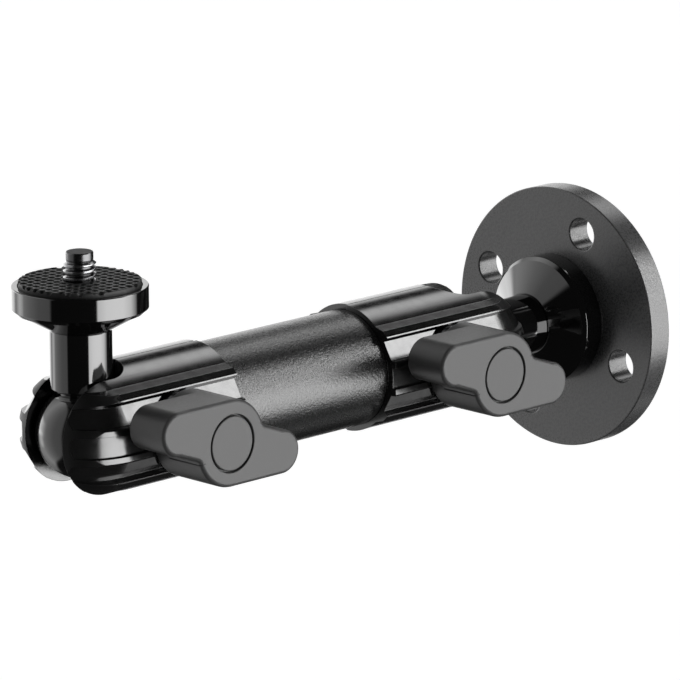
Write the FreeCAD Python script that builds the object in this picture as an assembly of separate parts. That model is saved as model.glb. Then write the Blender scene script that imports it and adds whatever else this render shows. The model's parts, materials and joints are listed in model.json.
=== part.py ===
import FreeCAD, Part
import math
import os

# Camera wall bracket: a round wall plate, a double ball-joint arm and a camera platform.
# Millimetres. The origin is the centre of the wall plate's back face, the wall is the plane
# y = 0, the arm stands out along -Y, +Z is up and the two knobs are on the +X side.

os.makedirs("parts", exist_ok=True)

V = FreeCAD.Vector
X = V(1, 0, 0)
Y = V(0, 1, 0)
Z = V(0, 0, 1)

# Wall plate
plate_radius = 26.8
plate_thickness = 5.3
plate_edge = 0.3
plate_hole_radius = 3.3
plate_hole_circle = 19.7
plate_hole_count = 4
plate_hole_turn = 68.2

# Ball, its stem and the flange that the stem stands on; both ends of the arm have these
ball_radius = 9.0
neck_radius = 4.8
neck_top = 8.3
neck_fillet = 0.5
stem_radius = 6.0
stem_start = 10.05
stem_edge = 0.35
stem_length = 10.35
flange_radius = 13.1
flange_rim = 4.3
flange_corner = 0.75
flange_foot_radius = 6.25
flange_cone = 3.35

# Camera screw, a quarter inch stud, and the rubber pad round it
screw_radius = 3.175
screw_length = 5.5
screw_tip = 1.7
screw_tip_radius = 2.65
screw_relief = 2.9
screw_edge = 0.25
screw_shank_radius = 2.5
screw_depth = 6.0
pad_radius = 11.75
pad_thickness = 1.9
pad_recess = 0.9
pad_edge = 0.7
pad_wall = 0.1

# Arm
ball_spacing = 101.9
clamp_radius = 12.75
camera_clamp_reach = 29.9
wall_clamp_reach = 31.3
slot_gap = 0.3
slot_offset = 2.3
front_dome_offset = 0.3
back_dome_offset = 2.25
nose_radius = 11.55
nose_shift = 3.3
parting_gap = 0.3
socket_clearance = 0.05

# Clamp section: the height where the round top ends, then the height of each edge of the flank and
# how far it stands outside the clamp's radius: a ridge with a chamfer, a flute, a rail, the plateau
ridge_start = 9.68
plateau_rise = 0.4
flank_edges = ((9.1, -2.4), (8.1, -1.3), (7.85, -1.15), (7.02, -2.08), (3.6, -0.11),
               (3.55, 0.85), (3.2, 1.2), (2.15, 1.2), (2.0, plateau_rise))

# Sleeve between the clamps, and the core inside it
sleeve_radius = 11.7
sleeve_bore = 9.8
sleeve_edge = 0.25
front_tongue = 9.0
back_tongue = 6.0
tongue_clearance = 0.05
back_tongue_gap = 0.9
back_end_gap = 0.45
core_gap = 0.2
core_waist = 1.4
core_waist_share = 0.5
core_bore = 3.0

# Knob
knob_offset = 13.8
knob_hub_radius = 8.5
knob_collar = 3.05
knob_wing_depth = 9.7
knob_wing_reach = 13.4
knob_wing_end_radius = 4.3
knob_wing_taper = 2.0
knob_root_round = 1.6
knob_edge = 0.8
knob_back_edge = 0.5
cap_radius = 5.3
cap_depth = 1.2
cap_seam = 0.12
cap_lip = 0.25

# Knob stud, its washer and boss, the nut and the spring that opens the clamp
stud_radius = 2.5
stud_head_radius = 4.2
stud_head_height = 3.0
stud_socket = 2.0
stud_hole_clearance = 0.3
boss_radius = 7.6
boss_rise = 0.4
spot_face_edge = 0.4
washer_radius = 6.4
washer_thickness = 0.68
washer_gap = 0.02
nut_flats = 8.0
nut_height = 4.0
nut_depth = 0.6
nut_gap = 0.1
back_hole_clearance = 0.6
spring_inner = 3.0
spring_outer = 3.9
spring_discs = 4
spring_thickness = 0.4
spring_pocket = 3.4
spring_gap = 0.1

# Flange screw at the wall
flange_screw_radius = 2.5
flange_screw_head = 4.8
flange_screw_cone = 2.3
flange_screw_depth = 8.0
screw_clearance = 0.05
hex_socket = 1.5
hex_depth = 2.0

# Worked out from the sizes above
flange_face = stem_start + stem_length + flange_cone + flange_corner + flange_rim
flange_foot = stem_start + stem_length
wall_ball_y = -(plate_thickness + flange_face)
camera_ball_y = wall_ball_y - ball_spacing
wall_clamp_end = wall_ball_y - wall_clamp_reach
camera_clamp_end = camera_ball_y + camera_clamp_reach
pad_seat = flange_face - pad_recess
pad_top = pad_seat + pad_thickness
plateau_x = clamp_radius + plateau_rise
slot_half = stem_radius + slot_gap
nut_seat = plateau_x - nut_depth - nut_height
boss_face = plateau_x + boss_rise
knob_hub_back = boss_face + washer_thickness + washer_gap
knob_wing_back = knob_hub_back + knob_collar
knob_front = knob_wing_back + knob_wing_depth

# Cutting tools: how far they reach past the faces they cut, and how deep added pieces are sunk
big = 4 * clamp_radius
run_out = 1.0
seat_overlap = 1.0


def cylinder(radius, length, base, axis):
    return Part.makeCylinder(radius, length, base, axis)


def turned(points, base=V(0, 0, 0)):
    """Solid of revolution about the Z axis from (radius, height) points."""
    wire = Part.makePolygon([V(r, 0, z) for r, z in points] + [V(points[0][0], 0, points[0][1])])
    solid = Part.Face(wire).revolve(V(0, 0, 0), Z, 360)
    solid.translate(base)
    return solid


def prism(points, depth, base, direction):
    """Straight prism on a closed outline of points."""
    wire = Part.makePolygon(points + [points[0]])
    solid = Part.Face(wire).extrude(direction * depth)
    solid.translate(base)
    return solid


def hexagon_x(across_flats, depth, centre):
    """Hexagonal prism along +X, from its centre point."""
    corner = across_flats / math.sqrt(3)
    points = []
    for k in range(6):
        a = math.radians(60 * k + 30)
        points.append(V(0, corner * math.cos(a), corner * math.sin(a)))
    return prism(points, depth, centre, X)


def round_edges(solid, radius, wanted):
    """Fillet the edges that the test picks."""
    edges = [e for e in solid.Edges if wanted(e)]
    return solid.makeFillet(radius, edges)


def chamfer_edges(solid, size, wanted):
    """Chamfer the edges that the test picks."""
    edges = [e for e in solid.Edges if wanted(e)]
    return solid.makeChamfer(size, edges)


def in_plane(edge, axis, value, tolerance=1e-4):
    box = edge.BoundBox
    low = getattr(box, axis + "Min")
    high = getattr(box, axis + "Max")
    return abs(low - value) < tolerance and abs(high - value) < tolerance


def runs_along_x(edge, height):
    """Straight edge along X whose distance above or below the axis is the given height."""
    box = edge.BoundBox
    flat = box.YLength < 1e-4 and box.ZLength < 1e-4
    return flat and abs(abs(box.ZMin) - abs(height)) < 1e-3


# Wall plate and flange

def wall_plate():
    plate = cylinder(plate_radius, plate_thickness, V(0, -plate_thickness, 0), Y)
    for face in (-plate_thickness, 0):
        plate = chamfer_edges(plate, plate_edge, lambda e: in_plane(e, "Y", face))
    for k in range(plate_hole_count):
        a = math.radians(plate_hole_turn + 360 * k / plate_hole_count)
        at = V(plate_hole_circle * math.cos(a), -plate_thickness - run_out, plate_hole_circle * math.sin(a))
        plate = plate.cut(cylinder(plate_hole_radius, plate_thickness + 2 * run_out, at, Y))
    return plate.cut(flange_screw(screw_clearance, 0))


def flange():
    """Flange on the Z axis, ball centre at the origin: a shallow cone that widens into a rim."""
    corner_radius = flange_radius - flange_corner
    cone_top = flange_foot + flange_cone
    points = [(0, flange_foot), (flange_foot_radius, flange_foot), (corner_radius, cone_top)]
    points += [(flange_radius, cone_top + flange_corner), (flange_radius, flange_face), (0, flange_face)]
    return turned(points)


def ball_stem(bore_radius, bore_depth):
    """Ball, neck and stem in one piece on the Z axis, ball centre at the origin."""
    ball = Part.makeSphere(ball_radius)
    top = flange_foot
    points = [(0, 0), (neck_radius, 0), (neck_radius, neck_top)]
    points += [(stem_radius - stem_edge, stem_start), (stem_radius, stem_start + stem_edge)]
    points += [(stem_radius, top - stem_edge), (stem_radius - stem_edge, top), (0, top)]
    stem = ball.fuse(turned(points)).removeSplitter()
    neck_line = math.sqrt(ball_radius ** 2 - neck_radius ** 2)
    stem = round_edges(stem, neck_fillet, lambda e: in_plane(e, "Z", neck_line, 0.01))
    depth = bore_depth + screw_clearance
    return stem.cut(cylinder(bore_radius, depth, V(0, 0, top - depth), Z))


def to_wall(solid):
    """Turn a piece made on +Z about the ball so that it points at the wall, and place it."""
    solid.rotate(V(0, 0, 0), X, -90)
    solid.translate(V(0, wall_ball_y, 0))
    return solid


def to_camera(solid):
    solid.translate(V(0, camera_ball_y, 0))
    return solid


def flange_screw(extra, socket):
    """Countersunk screw from the back of the plate into the stem; extra widens it for its hole."""
    head = flange_screw_head + extra
    shank = flange_screw_radius + extra
    length = plate_thickness + (flange_face - flange_foot) + flange_screw_depth
    points = [(0, 0), (head, 0), (shank, -flange_screw_cone), (shank, -length), (0, -length)]
    screw = turned(points)
    if socket:
        hexagon = hexagon_x(2 * hex_socket, hex_depth, V(0, 0, 0))
        hexagon.rotate(V(0, 0, 0), Y, 90)
        screw = screw.cut(hexagon)
    screw.rotate(V(0, 0, 0), X, -90)
    return screw


def wall_flange():
    return to_wall(flange()).cut(flange_screw(screw_clearance, 0))


# Camera platform, pad and screw

def camera_platform():
    body = flange()
    seat = pad_radius + pad_wall
    body = body.cut(cylinder(seat, pad_recess + run_out, V(0, 0, pad_seat), Z))
    body = body.cut(cylinder(screw_shank_radius + screw_clearance, flange_face, V(0, 0, 0), Z))
    return to_camera(body)


def rubber_pad():
    bore = screw_radius + pad_wall
    points = [(bore, pad_seat), (pad_radius, pad_seat), (pad_radius, pad_top - pad_edge)]
    points += [(pad_radius - pad_edge / 3, pad_top - pad_edge / 3), (pad_radius - pad_edge, pad_top)]
    points += [(bore, pad_top)]
    return to_camera(turned(points))


def camera_screw():
    """Stud: the stretch that takes the thread, a plain tip and a shank in the stem."""
    bottom = flange_foot - screw_depth
    top = pad_top + screw_length
    thread_end = top - screw_tip
    points = [(0, bottom), (screw_shank_radius, bottom), (screw_shank_radius, pad_seat)]
    points += [(screw_relief, pad_seat), (screw_relief, pad_top), (screw_radius, pad_top)]
    points += [(screw_radius, thread_end), (screw_tip_radius, thread_end + screw_radius - screw_tip_radius)]
    points += [(screw_tip_radius, top - screw_edge), (screw_tip_radius - screw_edge, top), (0, top)]
    return to_camera(turned(points))


# Clamp halves, made with the ball centre at the origin and the arm along +Y

def clamp_section():
    """Front half of the section, in the XZ plane, closed along x = 0."""
    r = clamp_radius
    start = V(math.sqrt(r ** 2 - ridge_start ** 2), 0, ridge_start)
    upper = [start] + [V(r + rise, 0, height) for height, rise in flank_edges]
    lower = [V(p.x, 0, -p.z) for p in reversed(upper)]
    flank = upper + lower
    middle = (math.atan2(start.z, start.x) + math.pi / 2) / 2
    arc_top = Part.Arc(V(0, 0, r), V(r * math.cos(middle), 0, r * math.sin(middle)), flank[0]).toShape()
    arc_low = Part.Arc(flank[-1], V(r * math.cos(middle), 0, -r * math.sin(middle)), V(0, 0, -r)).toShape()
    edges = [arc_top] + [Part.LineSegment(a, b).toShape() for a, b in zip(flank, flank[1:])]
    edges += [arc_low, Part.LineSegment(V(0, 0, -r), V(0, 0, r)).toShape()]
    return Part.Face(Part.Wire(edges))


def clamp_blank(reach, dome_offset):
    """Half before its cuts: the section run along the arm, and turned about the Z axis as a dome.

    The dome's ridge and rails run out on a ball-shaped nose, so that the slot's mouth is smooth.
    """
    section = clamp_section()
    bar = section.extrude(Y * (reach - dome_offset))
    nose = Part.makeSphere(nose_radius, V(nose_shift, 0, 0))
    dome = section.revolve(V(0, 0, 0), Z, -90).common(nose)
    body = bar.fuse(dome).removeSplitter()
    body.translate(V(0, dome_offset, 0))
    return body


def clamp_half(reach, dome_offset, added):
    """Half with what is added to it, and the stem's slot and the ball's socket cut."""
    body = clamp_blank(reach, dome_offset)
    body = body.common(Part.makeBox(big, 2 * big, big, V(parting_gap / 2, -big, -big / 2)))
    body = body.fuse(added).removeSplitter()
    body = body.cut(Part.makeBox(2 * slot_half, big + slot_offset, big, V(-slot_half, -big, -big / 2)))
    body = body.cut(cylinder(slot_half, big, V(0, slot_offset, -big / 2), Z))
    return body.cut(Part.makeSphere(ball_radius + socket_clearance))


def half_bar(radius, length, start):
    """Half-round bar along +Y, flat on the parting plane."""
    bar = cylinder(radius, length, V(0, start, 0), Y)
    return bar.common(Part.makeBox(big, length, big, V(parting_gap / 2, start, -big / 2)))


def clamp_front(reach):
    boss = cylinder(boss_radius, boss_face - slot_half, V(slot_half, knob_offset, 0), X)
    tongue = half_bar(sleeve_bore - tongue_clearance, front_tongue + seat_overlap, reach - seat_overlap)
    body = clamp_half(reach, front_dome_offset, [boss, tongue])
    body = body.cut(cylinder(boss_radius + spot_face_edge, big, V(boss_face, knob_offset, 0), X))
    hole = cylinder(stud_radius + stud_hole_clearance, big, V(0, knob_offset, 0), X)
    pocket = cylinder(spring_outer + spring_gap, spring_pocket, V(0, knob_offset, 0), X)
    return body.cut(hole).cut(pocket)


def clamp_back(reach):
    """Rear half, made on the front side and turned over; it rocks on its tongue."""
    end = reach - back_end_gap
    radius = sleeve_bore - back_tongue_gap
    tongue = half_bar(radius, back_tongue + back_end_gap + seat_overlap, end - seat_overlap)
    body = clamp_half(end, back_dome_offset, [tongue])
    hole = cylinder(stud_radius + back_hole_clearance, big, V(0, knob_offset, 0), X)
    pocket = hexagon_x(nut_flats + 2 * nut_gap, big, V(nut_seat, knob_offset, 0))
    body = body.cut(hole).cut(pocket)
    return body.mirror(V(0, 0, 0), X)


def clamp_nut():
    nut = hexagon_x(nut_flats, nut_height, V(nut_seat, knob_offset, 0))
    nut = nut.cut(cylinder(stud_radius + stud_hole_clearance, big, V(0, knob_offset, 0), X))
    return nut.mirror(V(0, 0, 0), X)


def clamp_spring():
    """Stack of disc springs round the stud, across the parting plane into the front half's pocket."""
    rise = (spring_pocket + parting_gap / 2 - 2 * spring_gap) / spring_discs
    radii = [spring_outer - spring_thickness if k % 2 else spring_inner for k in range(spring_discs + 1)]
    bore = [(r, k * rise) for k, r in enumerate(radii)]
    rim = [(r + spring_thickness, z) for r, z in reversed(bore)]
    stack = turned(bore + rim)
    stack.rotate(V(0, 0, 0), Y, 90)
    stack.translate(V(-parting_gap / 2 + spring_gap, knob_offset, 0))
    return stack


# Knob with its stud, washer and cap

def knob_outline():
    """Two tapering wings, one up and one down, on the hub; the half turn of the other."""
    r = knob_hub_radius
    e = knob_wing_end_radius
    reach = knob_wing_reach
    low = r - 2 * e
    root_y = -math.sqrt(r ** 2 - (low - knob_wing_taper) ** 2)
    top = V(0, 0, r)
    end_top = V(0, -reach, r)
    end_tip = V(0, -reach - e, r - e)
    end_low = V(0, -reach, low)
    root = V(0, root_y, low - knob_wing_taper)
    centre = V(0, 0, 0)
    edges = [Part.LineSegment(top, end_top).toShape(), Part.Arc(end_top, end_tip, end_low).toShape()]
    edges += [Part.LineSegment(end_low, root).toShape(), Part.LineSegment(root, centre).toShape()]
    edges += [Part.LineSegment(centre, top).toShape()]
    return Part.Face(Part.Wire(edges))


def knob():
    """Knob on the X axis."""
    wing = knob_outline().extrude(X * knob_wing_depth)
    wing.translate(X * knob_wing_back)
    other = wing.copy()
    other.rotate(V(0, 0, 0), X, 180)
    hub = cylinder(knob_hub_radius, knob_wing_depth, V(knob_wing_back, 0, 0), X)
    body = hub.fuse([wing, other]).removeSplitter()
    low = knob_hub_radius - 2 * knob_wing_end_radius - knob_wing_taper
    body = round_edges(body, knob_root_round, lambda e: runs_along_x(e, low))
    body = round_edges(body, knob_edge, lambda e: in_plane(e, "X", knob_front))
    body = round_edges(body, knob_back_edge, lambda e: in_plane(e, "X", knob_wing_back))
    lower = cylinder(knob_hub_radius, knob_collar, V(knob_hub_back, 0, 0), X)
    body = body.fuse(lower).removeSplitter()
    recess = cylinder(cap_radius + cap_seam, cap_depth, V(knob_front - cap_depth, 0, 0), X)
    hole = cylinder(stud_radius + tongue_clearance, big, V(0, 0, 0), X)
    seat = knob_front - cap_depth - stud_head_height
    head = cylinder(stud_head_radius + tongue_clearance, big, V(seat, 0, 0), X)
    return body.cut(recess).cut(hole).cut(head)


def knob_cap():
    cap = cylinder(cap_radius, cap_depth - cap_seam, V(knob_front - cap_depth, 0, 0), X)
    return chamfer_edges(cap, cap_lip, lambda e: in_plane(e, "X", knob_front - cap_seam))


def knob_stud():
    """Socket screw that runs through the knob and the front half into the nut."""
    head_face = knob_front - cap_depth
    end = nut_depth - plateau_x
    shank = cylinder(stud_radius, head_face - stud_head_height - end, V(end, 0, 0), X)
    head = cylinder(stud_head_radius, stud_head_height, V(head_face - stud_head_height, 0, 0), X)
    socket = hexagon_x(2 * stud_socket, stud_head_height / 2, V(head_face - stud_head_height / 2, 0, 0))
    return shank.fuse(head).removeSplitter().cut(socket)


def knob_washer():
    washer = cylinder(washer_radius, washer_thickness, V(boss_face, 0, 0), X)
    return washer.cut(cylinder(stud_radius + stud_hole_clearance, big, V(0, 0, 0), X))


# Sleeve and core between the clamps

def centre_sleeve():
    length = wall_clamp_end - camera_clamp_end
    tube = cylinder(sleeve_radius, length, V(0, camera_clamp_end, 0), Y)
    for end in (camera_clamp_end, wall_clamp_end):
        tube = chamfer_edges(tube, sleeve_edge, lambda e: in_plane(e, "Y", end))
    return tube.cut(cylinder(sleeve_bore, length, V(0, camera_clamp_end, 0), Y))


def arm_core():
    """Spool inside the sleeve, between the tongues of the clamps."""
    start = camera_clamp_end + front_tongue + core_gap
    end = wall_clamp_end - front_tongue - core_gap
    length = end - start
    radius = sleeve_bore - tongue_clearance
    core = cylinder(radius, length, V(0, start, 0), Y)
    waist_length = length * core_waist_share
    waist_start = start + (length - waist_length) / 2
    ring = cylinder(radius + run_out, waist_length, V(0, waist_start, 0), Y)
    ring = ring.cut(cylinder(radius - core_waist, waist_length, V(0, waist_start, 0), Y))
    return core.cut(ring).cut(cylinder(core_bore, length, V(0, start, 0), Y))


def save(name, solid):
    shape = solid.Solids[0] if len(solid.Solids) == 1 else solid
    print(name, "solids", len(solid.Solids), "volume", round(shape.Volume, 2), "valid", shape.isValid())
    shape.exportStep("parts/" + name + ".step")


def at_camera(solid):
    """Place a clamp piece, made with its arm along +Y, on the camera ball."""
    solid.translate(V(0, camera_ball_y, 0))
    return solid


def at_wall(solid):
    """Turn a clamp piece so that its arm runs along -Y, and place it on the wall ball."""
    solid.rotate(V(0, 0, 0), X, 180)
    solid.translate(V(0, wall_ball_y, 0))
    return solid


def at_knob(solid, y):
    solid.translate(V(0, y, 0))
    return solid


def main():
    save("wall_plate", wall_plate())
    save("wall_flange", wall_flange())
    save("wall_flange_screw", flange_screw(0, 1))
    save("wall_ball_stem", to_wall(ball_stem(flange_screw_radius + screw_clearance, flange_screw_depth)))
    save("camera_ball_stem", to_camera(ball_stem(screw_shank_radius + screw_clearance, screw_depth)))
    save("camera_platform", camera_platform())
    save("rubber_pad", rubber_pad())
    save("camera_screw", camera_screw())
    save("centre_sleeve", centre_sleeve())
    save("arm_core", arm_core())
    ends = (("wall", wall_clamp_reach, at_wall, wall_ball_y - knob_offset),
            ("camera", camera_clamp_reach, at_camera, camera_ball_y + knob_offset))
    for side, reach, place, knob_y in ends:
        save(side + "_clamp_front", place(clamp_front(reach)))
        save(side + "_clamp_back", place(clamp_back(reach)))
        save(side + "_clamp_nut", place(clamp_nut()))
        save(side + "_clamp_spring", place(clamp_spring()))
        save(side + "_knob", at_knob(knob(), knob_y))
        save(side + "_knob_cap", at_knob(knob_cap(), knob_y))
        save(side + "_knob_stud", at_knob(knob_stud(), knob_y))
        save(side + "_knob_washer", at_knob(knob_washer(), knob_y))


main()
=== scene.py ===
import json
import math

import bmesh
import bpy
import numpy as np
from mathutils import Matrix, Vector
from mathutils.geometry import tessellate_polygon


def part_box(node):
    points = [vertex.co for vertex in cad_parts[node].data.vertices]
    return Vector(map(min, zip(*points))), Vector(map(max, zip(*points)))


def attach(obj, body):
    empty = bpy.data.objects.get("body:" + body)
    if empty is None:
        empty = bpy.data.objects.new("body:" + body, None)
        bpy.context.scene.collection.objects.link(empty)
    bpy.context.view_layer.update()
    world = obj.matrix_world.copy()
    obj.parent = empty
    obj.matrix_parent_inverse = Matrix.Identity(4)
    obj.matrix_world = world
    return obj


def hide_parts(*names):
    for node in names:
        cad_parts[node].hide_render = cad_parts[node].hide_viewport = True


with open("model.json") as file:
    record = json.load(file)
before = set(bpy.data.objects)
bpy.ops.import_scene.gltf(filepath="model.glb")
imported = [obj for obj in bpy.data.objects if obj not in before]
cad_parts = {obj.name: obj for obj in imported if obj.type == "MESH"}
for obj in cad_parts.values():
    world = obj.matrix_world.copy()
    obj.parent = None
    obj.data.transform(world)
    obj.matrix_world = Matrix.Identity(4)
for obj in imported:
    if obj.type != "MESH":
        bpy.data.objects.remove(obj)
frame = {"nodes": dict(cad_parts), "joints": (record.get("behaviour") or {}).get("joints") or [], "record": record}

bl_info = {
    "name": "Camera wall bracket",
    "version": (1, 0, 0),
    "blender": (4, 5, 0),
    "location": "3D View > Sidebar > Bracket",
    "description": "Turned, milled and moulded pieces of a camera wall bracket, and a small studio",
    "category": "Object",
}

MM = 0.001
RECORD = frame["record"]
BODY_OF = {node: body for body, nodes in RECORD["behaviour"]["bodies"].items() for node in nodes}
PIVOT = {joint["name"]: np.array(joint.get("pos_m", (0, 0, 0)), float) for joint in frame["joints"]}
BOLTS = next(mount for mount in RECORD["mounts"] if mount["kind"] == "bolt_pattern")["dims"]
X = np.array((1.0, 0.0, 0.0))
Y = np.array((0.0, 1.0, 0.0))
Z = np.array((0.0, 0.0, 1.0))


def extent(node):
    """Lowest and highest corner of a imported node, as arrays."""
    low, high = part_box(node)
    return np.array(low), np.array(high)


def length(name, description, default):
    return bpy.props.FloatProperty(name=name, description=description, default=default, unit="LENGTH",
                                   subtype="DISTANCE", precision=5)


def angle(name, description, degrees):
    return bpy.props.FloatProperty(name=name, description=description, default=math.radians(degrees),
                                   unit="ROTATION", subtype="ANGLE")


def colour(name, description, default):
    return bpy.props.FloatVectorProperty(name=name, description=description, default=default, size=3,
                                         subtype="COLOR", min=0.0, max=1.0)


def share(name, description, default):
    return bpy.props.FloatProperty(name=name, description=description, default=default, min=0.0, max=1.0,
                                   subtype="FACTOR")


class BracketSizes(bpy.types.PropertyGroup):
    """Sizes of the detail that the solids leave to the visual model."""

    edge_round: length("Turned edge", "Radius of the edges of turned pieces", 0.25 * MM)
    plate_round: length("Plate edge", "Radius of the plate's rim and hole edges", 0.3 * MM)
    milled_round: length("Milled edge", "Radius that softens the milled edges of the clamps", 0.12 * MM)
    knob_round: length("Knob edge", "Radius of the knob's front edge", 0.8 * MM)
    shoulder_round: length("Shoulder edge", "Radius of a stem's shoulder and of its end", 0.3 * MM)
    flange_foot: length("Flange foot", "Radius at which a flange's cone begins", 6.25 * MM)
    flange_cone: length("Flange cone", "Height of a flange's cone", 3.35 * MM)
    flange_corner: length("Flange corner", "Height of the bevel between a flange's cone and rim", 0.75 * MM)
    stem_radius: length("Stem", "Radius of a stem", 6.0 * MM)
    neck_radius: length("Neck", "Radius of the neck between a ball and its stem", 5.3 * MM)
    neck_height: length("Neck height", "Height over the ball at which the neck ends", 7.7 * MM)
    shoulder_height: length("Shoulder height", "Height over the ball at which the shoulder ends", 8.6 * MM)
    sleeve_bore: length("Sleeve bore", "Radius of the sleeve's bore", 9.8 * MM)
    wing_end: length("Wing end", "Radius of the round end of a knob's wing", 4.3 * MM)
    wing_taper: length("Wing taper", "How far a wing deepens from its end to the hub", 2.0 * MM)
    knob_root: length("Knob root", "Radius where a wing meets the knob's hub", 1.6 * MM)
    knob_collar: length("Knob collar", "Height of the round collar behind the wings", 3.05 * MM)
    seam_width: length("Cap seam", "Width of the groove round the knob's cap", 0.35 * MM)
    seam_depth: length("Cap seam depth", "Depth of the groove round the knob's cap", 1.0 * MM)
    tip_radius: length("Stud tip", "Radius of the plain tip of the camera stud", 2.65 * MM)
    tip_length: length("Stud tip length", "Length of the plain tip of the camera stud", 1.7 * MM)
    pad_bore: length("Pad bore", "Radius of the pad's hole for the stud", 3.3 * MM)
    thread_pitch: length("Thread pitch", "Pitch of the quarter inch camera thread", 1.27 * MM)
    thread_depth: length("Thread depth", "Depth of the thread from crest to root", 0.62 * MM)
    grip_pitch: length("Grip pitch", "Spacing of the pad's cells along and across the arm", 1.755 * MM)
    grip_cell: length("Grip cell", "Radius of a cell of the pad at its mouth", 0.7 * MM)
    grip_depth: length("Grip depth", "Depth of the pad's cells", 0.6 * MM)


class BracketFinishes(bpy.types.PropertyGroup):
    """Colours and sheen of each finish."""

    plate: colour("Plate", "Powder coat of the wall plate", (0.074, 0.074, 0.075))
    gloss: colour("Gloss black", "Polished black of stems and flanges", (0.002, 0.002, 0.002))
    clamp: colour("Clamp black", "Black coat of the clamps", (0.009, 0.009, 0.009))
    sleeve: colour("Sleeve", "Grained black coat of the middle sleeve", (0.009, 0.009, 0.009))
    knob: colour("Knob", "Moulded grey of the knobs", (0.072, 0.072, 0.072))
    rubber: colour("Rubber", "Grip pad", (0.024, 0.024, 0.024))
    steel: colour("Steel", "Bright steel of the springs", (0.62, 0.62, 0.63))
    stud: colour("Stud", "Dark steel of the camera stud", (0.15, 0.15, 0.153))
    dark_steel: colour("Dark steel", "Blackened screws, nuts and washers", (0.09, 0.09, 0.095))
    aluminium: colour("Aluminium", "Bare aluminium of the arm's core", (0.6, 0.6, 0.61))
    gloss_index: bpy.props.FloatProperty(name="Gloss index", default=2.2, min=1.0, max=3.0,
                                         description="Refractive index of the black coats")
    gloss_roughness: share("Gloss roughness", "Roughness of stems and flanges", 0.05)
    clamp_roughness: share("Clamp roughness", "Roughness of the clamps", 0.17)


class BracketStudio(bpy.types.PropertyGroup):
    """Camera and light panels."""

    azimuth: angle("Azimuth", "Direction the camera looks in, from +Y towards -X", 45.4)
    elevation: angle("Elevation", "Angle the camera looks down at", 13.73)
    roll: angle("Roll", "Turn of the camera about its axis", -0.34)
    distance: length("Distance", "Camera to aim point", 1262.7 * MM)
    field: angle("Field of view", "Angle across the square picture", 6.109)
    floor_drop: length("Floor drop", "Height of the bracket's axis above the floor", 165 * MM)
    floor_size: length("Floor size", "Side of the floor", 8.0)


# Shapes

def rounded(points, radii, steps=6):
    """Path of straight runs with rounded corners, and its normals to the right of travel.

    A corner of radius R is the arc tangent to both runs, which starts R tan(turn / 2) before it.
    """
    p = np.array(points, float)
    runs = np.diff(p, axis=0)
    runs = runs / np.linalg.norm(runs, axis=1)[:, None]
    path = [p[:1]]
    headings = [runs[:1]]
    for corner, a, b, radius in zip(p[1:-1], runs[:-1], runs[1:], radii):
        turn = math.atan2(a[0] * b[1] - a[1] * b[0], a @ b)
        sweep = np.linspace(0.0, turn, steps + 1)[:, None]
        across = np.array((-a[1], a[0]))
        start = corner - a * radius * math.tan(abs(turn) / 2)
        side = math.copysign(radius, turn)
        heading = a * np.cos(sweep) + across * np.sin(sweep)
        left = np.stack((-heading[:, 1], heading[:, 0]), axis=1)
        path.append(start + side * across - side * left)
        headings.append(heading)
    path.append(p[-1:])
    headings.append(runs[-1:])
    path = np.concatenate(path)
    headings = np.concatenate(headings)
    return path, np.stack((headings[:, 1], -headings[:, 0]), axis=1)


def circle(count):
    """Unit circle as (n, 2) points; its outward normals are the same numbers."""
    turn = np.linspace(0.0, 2 * np.pi, count, endpoint=False)
    return np.stack((np.cos(turn), np.sin(turn)), axis=1)


def arc(centre, radius, start, end, count):
    """Points and outward directions of an arc between two angles in degrees."""
    turn = np.radians(np.linspace(start, end, count))
    way = np.stack((np.cos(turn), np.sin(turn)), axis=1)
    return np.array(centre) + radius * way, way


def bearing(vector):
    """Angle of a flat vector in degrees, anticlockwise from the first direction."""
    return math.degrees(math.atan2(vector[1], vector[0]))


def grid_normals(points):
    """Unit normals of a grid of closed rings: the slope along a ring crossed with the slope across it."""
    across = np.gradient(points, axis=0)
    around = np.roll(points, -1, 1) - np.roll(points, 1, 1)
    normals = np.cross(around, across)
    return normals / np.linalg.norm(normals, axis=-1, keepdims=True)


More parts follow.
